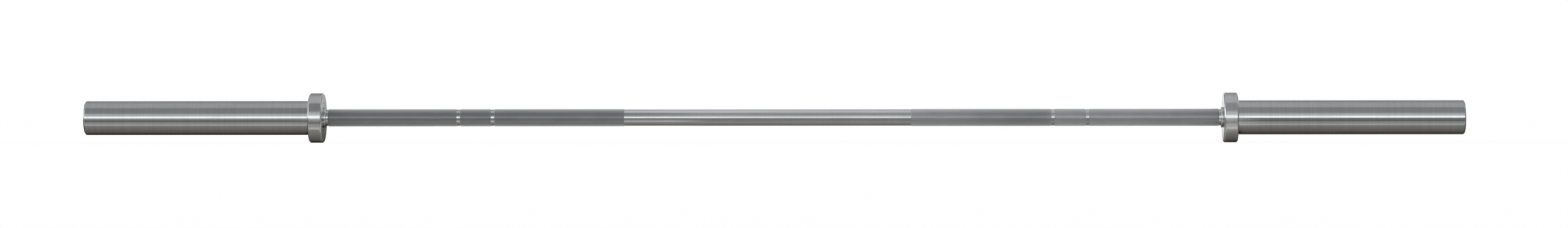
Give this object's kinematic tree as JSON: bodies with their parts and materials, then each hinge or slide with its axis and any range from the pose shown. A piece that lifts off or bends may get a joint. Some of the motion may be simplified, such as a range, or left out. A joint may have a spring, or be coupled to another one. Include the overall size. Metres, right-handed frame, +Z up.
{
  "type": "barbell",
  "caption": "Weightlifting bar: a knurled steel shaft with ring marks, whose thick end sleeves spin on needle bearings behind flanged collars that stop the plates.",
  "frame": {"origin": "the middle of the bar on its own axis", "axes": "+X along the bar towards its right sleeve, +Z up, -Y towards the viewer of the picture"},
  "size_m": [2.01, 0.073, 0.073],
  "materials": {
    "shaft_steel": "knurled, bare in the middle and at the ring marks",
    "sleeve_steel": "fine turned, satin",
    "collar_steel": "fine turned, with bright chamfers",
    "bearing_steel": "ground",
    "cage_steel": "oiled",
    "spring_steel": "phosphated, dark",
    "bronze": "turned",
    "cap_aluminium": "turned, satin, bare"
  },
  "bodies": {
    "shaft": {"shaft": "shaft_steel", "left_inner_thrust_washer": "bronze", "left_outer_thrust_washer": "bronze", "left_shaft_retaining_ring": "spring_steel", "right_inner_thrust_washer": "bronze", "right_outer_thrust_washer": "bronze", "right_shaft_retaining_ring": "spring_steel"},
    "left_sleeve_assembly": {"left_sleeve": "sleeve_steel", "left_collar": "collar_steel", "left_inner_bush": "bearing_steel", "left_inner_bearing_cup": "bearing_steel", "left_outer_bearing_cup": "bearing_steel", "left_end_cap": "cap_aluminium", "left_cap_retaining_ring": "spring_steel"},
    "right_sleeve_assembly": {"right_sleeve": "sleeve_steel", "right_collar": "collar_steel", "right_inner_bush": "bearing_steel", "right_inner_bearing_cup": "bearing_steel", "right_outer_bearing_cup": "bearing_steel", "right_end_cap": "cap_aluminium", "right_cap_retaining_ring": "spring_steel"},
    "left_inner_cage": {"left_inner_needle_cage": "cage_steel"},
    "left_outer_cage": {"left_outer_needle_cage": "cage_steel"},
    "right_inner_cage": {"right_inner_needle_cage": "cage_steel"},
    "right_outer_cage": {"right_outer_needle_cage": "cage_steel"}
  },
  "joints": [
    {"name": "left_sleeve_spin", "type": "hinge", "parent": "shaft", "child": "left_sleeve_assembly", "pos_m": [-0.83, 0, 0], "axis": [1, 0, 0], "continuous": true},
    {"name": "right_sleeve_spin", "type": "hinge", "parent": "shaft", "child": "right_sleeve_assembly", "pos_m": [0.83, 0, 0], "axis": [1, 0, 0], "continuous": true},
    {"name": "left_inner_cage_roll", "type": "hinge", "parent": "shaft", "child": "left_inner_cage", "pos_m": [-0.6804, 0, 0], "axis": [1, 0, 0], "continuous": true},
    {"name": "left_outer_cage_roll", "type": "hinge", "parent": "shaft", "child": "left_outer_cage", "pos_m": [-0.968, 0, 0], "axis": [1, 0, 0], "continuous": true},
    {"name": "right_inner_cage_roll", "type": "hinge", "parent": "shaft", "child": "right_inner_cage", "pos_m": [0.6804, 0, 0], "axis": [1, 0, 0], "continuous": true},
    {"name": "right_outer_cage_roll", "type": "hinge", "parent": "shaft", "child": "right_outer_cage", "pos_m": [0.968, 0, 0], "axis": [1, 0, 0], "continuous": true}
  ],
  "couplings": [
    {"joint": "left_inner_cage_roll", "follows": "left_sleeve_spin", "ratio": 0.5455},
    {"joint": "left_outer_cage_roll", "follows": "left_sleeve_spin", "ratio": 0.5455},
    {"joint": "right_inner_cage_roll", "follows": "right_sleeve_spin", "ratio": 0.5455},
    {"joint": "right_outer_cage_roll", "follows": "right_sleeve_spin", "ratio": 0.5455}
  ]
}
